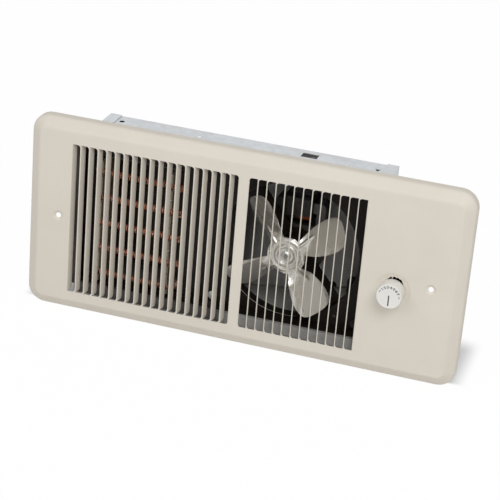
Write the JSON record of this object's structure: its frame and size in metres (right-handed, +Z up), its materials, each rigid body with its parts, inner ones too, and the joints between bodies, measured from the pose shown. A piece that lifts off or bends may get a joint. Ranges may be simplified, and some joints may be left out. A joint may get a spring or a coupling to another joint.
{
  "type": "wall fan heater",
  "caption": "Recessed fan-forced electric wall heater with a louvered enamelled cover, wall can, fan, open-coil element and thermostat knob.",
  "frame": {"origin": "middle of the finished wall face behind the cover", "axes": "+X to the right along the wall, +Y into the wall, +Z up; the cover faces -Y"},
  "size_m": [0.494, 0.1306, 0.225],
  "materials": {
    "cover_enamel": "warm off-white baked enamel, satin",
    "galvanised_sheet": "galvanised sheet, faint spangle",
    "black_steel": "satin black paint",
    "zinc_hardware": "bright zinc plate",
    "green_zinc": "green dyed zinc",
    "motor_laminations": "varnished stacked steel",
    "black_plastic": "moulded, matt",
    "copper_wire": "enamelled copper wire",
    "bearing_bronze": "sintered bronze",
    "shaft_steel": "ground steel",
    "fan_aluminium": "stamped mill-finish sheet",
    "reflector_aluminium": "bright sheet",
    "resistance_wire": "oxidised resistance wire, copper brown",
    "element_board": "pressed mica board, olive grey",
    "knob_plastic": "white, slightly glossy",
    "lead_black": "insulated wire",
    "lead_red": "insulated wire",
    "lead_white": "insulated wire"
  },
  "bodies": {
    "heater_frame": {"front_cover": "cover_enamel", "cover_rim": "cover_enamel", "cover_spacer_left": "galvanised_sheet", "cover_spacer_right": "galvanised_sheet", "wall_can": "galvanised_sheet", "can_end_left": "galvanised_sheet", "can_end_right": "galvanised_sheet", "can_rail_top": "galvanised_sheet", "can_rail_bottom": "galvanised_sheet", "chassis_plate": "black_steel", "orifice_ring": "black_steel", "chassis_screw_1": "zinc_hardware", "chassis_screw_2": "zinc_hardware", "chassis_screw_3": "zinc_hardware", "chassis_screw_4": "zinc_hardware", "motor_bracket": "black_steel", "motor_stack": "motor_laminations", "motor_bobbin": "black_plastic", "motor_winding": "copper_wire", "coil_wrap": "black_plastic", "motor_front_cap": "black_steel", "motor_rear_bracket": "zinc_hardware", "front_bearing": "bearing_bronze", "rear_bearing": "bearing_bronze", "motor_screw_1": "zinc_hardware", "motor_screw_2": "zinc_hardware", "motor_nut_1": "zinc_hardware", "motor_nut_2": "zinc_hardware", "bracket_screw_1": "zinc_hardware", "bracket_screw_2": "zinc_hardware", "heating_coil": "resistance_wire", "element_board_left": "element_board", "element_board_right": "element_board", "element_rail_top": "galvanised_sheet", "element_rail_bottom": "galvanised_sheet", "element_terminal_top": "zinc_hardware", "element_terminal_bottom": "zinc_hardware", "rear_reflector": "reflector_aluminium", "limit_bracket": "galvanised_sheet", "limit_switch_body": "black_plastic", "limit_switch_cap": "reflector_aluminium", "control_box": "galvanised_sheet", "control_panel": "black_steel", "thermostat_body": "black_plastic", "thermostat_nut": "zinc_hardware", "wire_bushing": "black_plastic", "terminal_block": "black_plastic", "ground_screw": "green_zinc", "lead_supply": "lead_black", "lead_thermostat": "lead_red", "lead_element_top": "lead_red", "lead_element_bottom": "lead_white", "lead_motor": "lead_white"},
    "fan_assembly": {"fan_blade": "fan_aluminium", "fan_hub": "zinc_hardware", "fan_push_nut": "zinc_hardware", "motor_shaft": "shaft_steel", "motor_rotor": "motor_laminations"},
    "knob_assembly": {"knob": "knob_plastic", "thermostat_spindle": "zinc_hardware"}
  },
  "joints": [
    {"name": "fan_spin", "type": "hinge", "parent": "heater_frame", "child": "fan_assembly", "pos_m": [0.046, 0.02, -0.0038], "axis": [0, 1, 0], "continuous": true},
    {"name": "knob_turn", "type": "hinge", "parent": "heater_frame", "child": "knob_assembly", "pos_m": [0.1704, -0.02, -0.009], "axis": [0, 1, 0], "range_deg": [0, 300]}
  ]
}
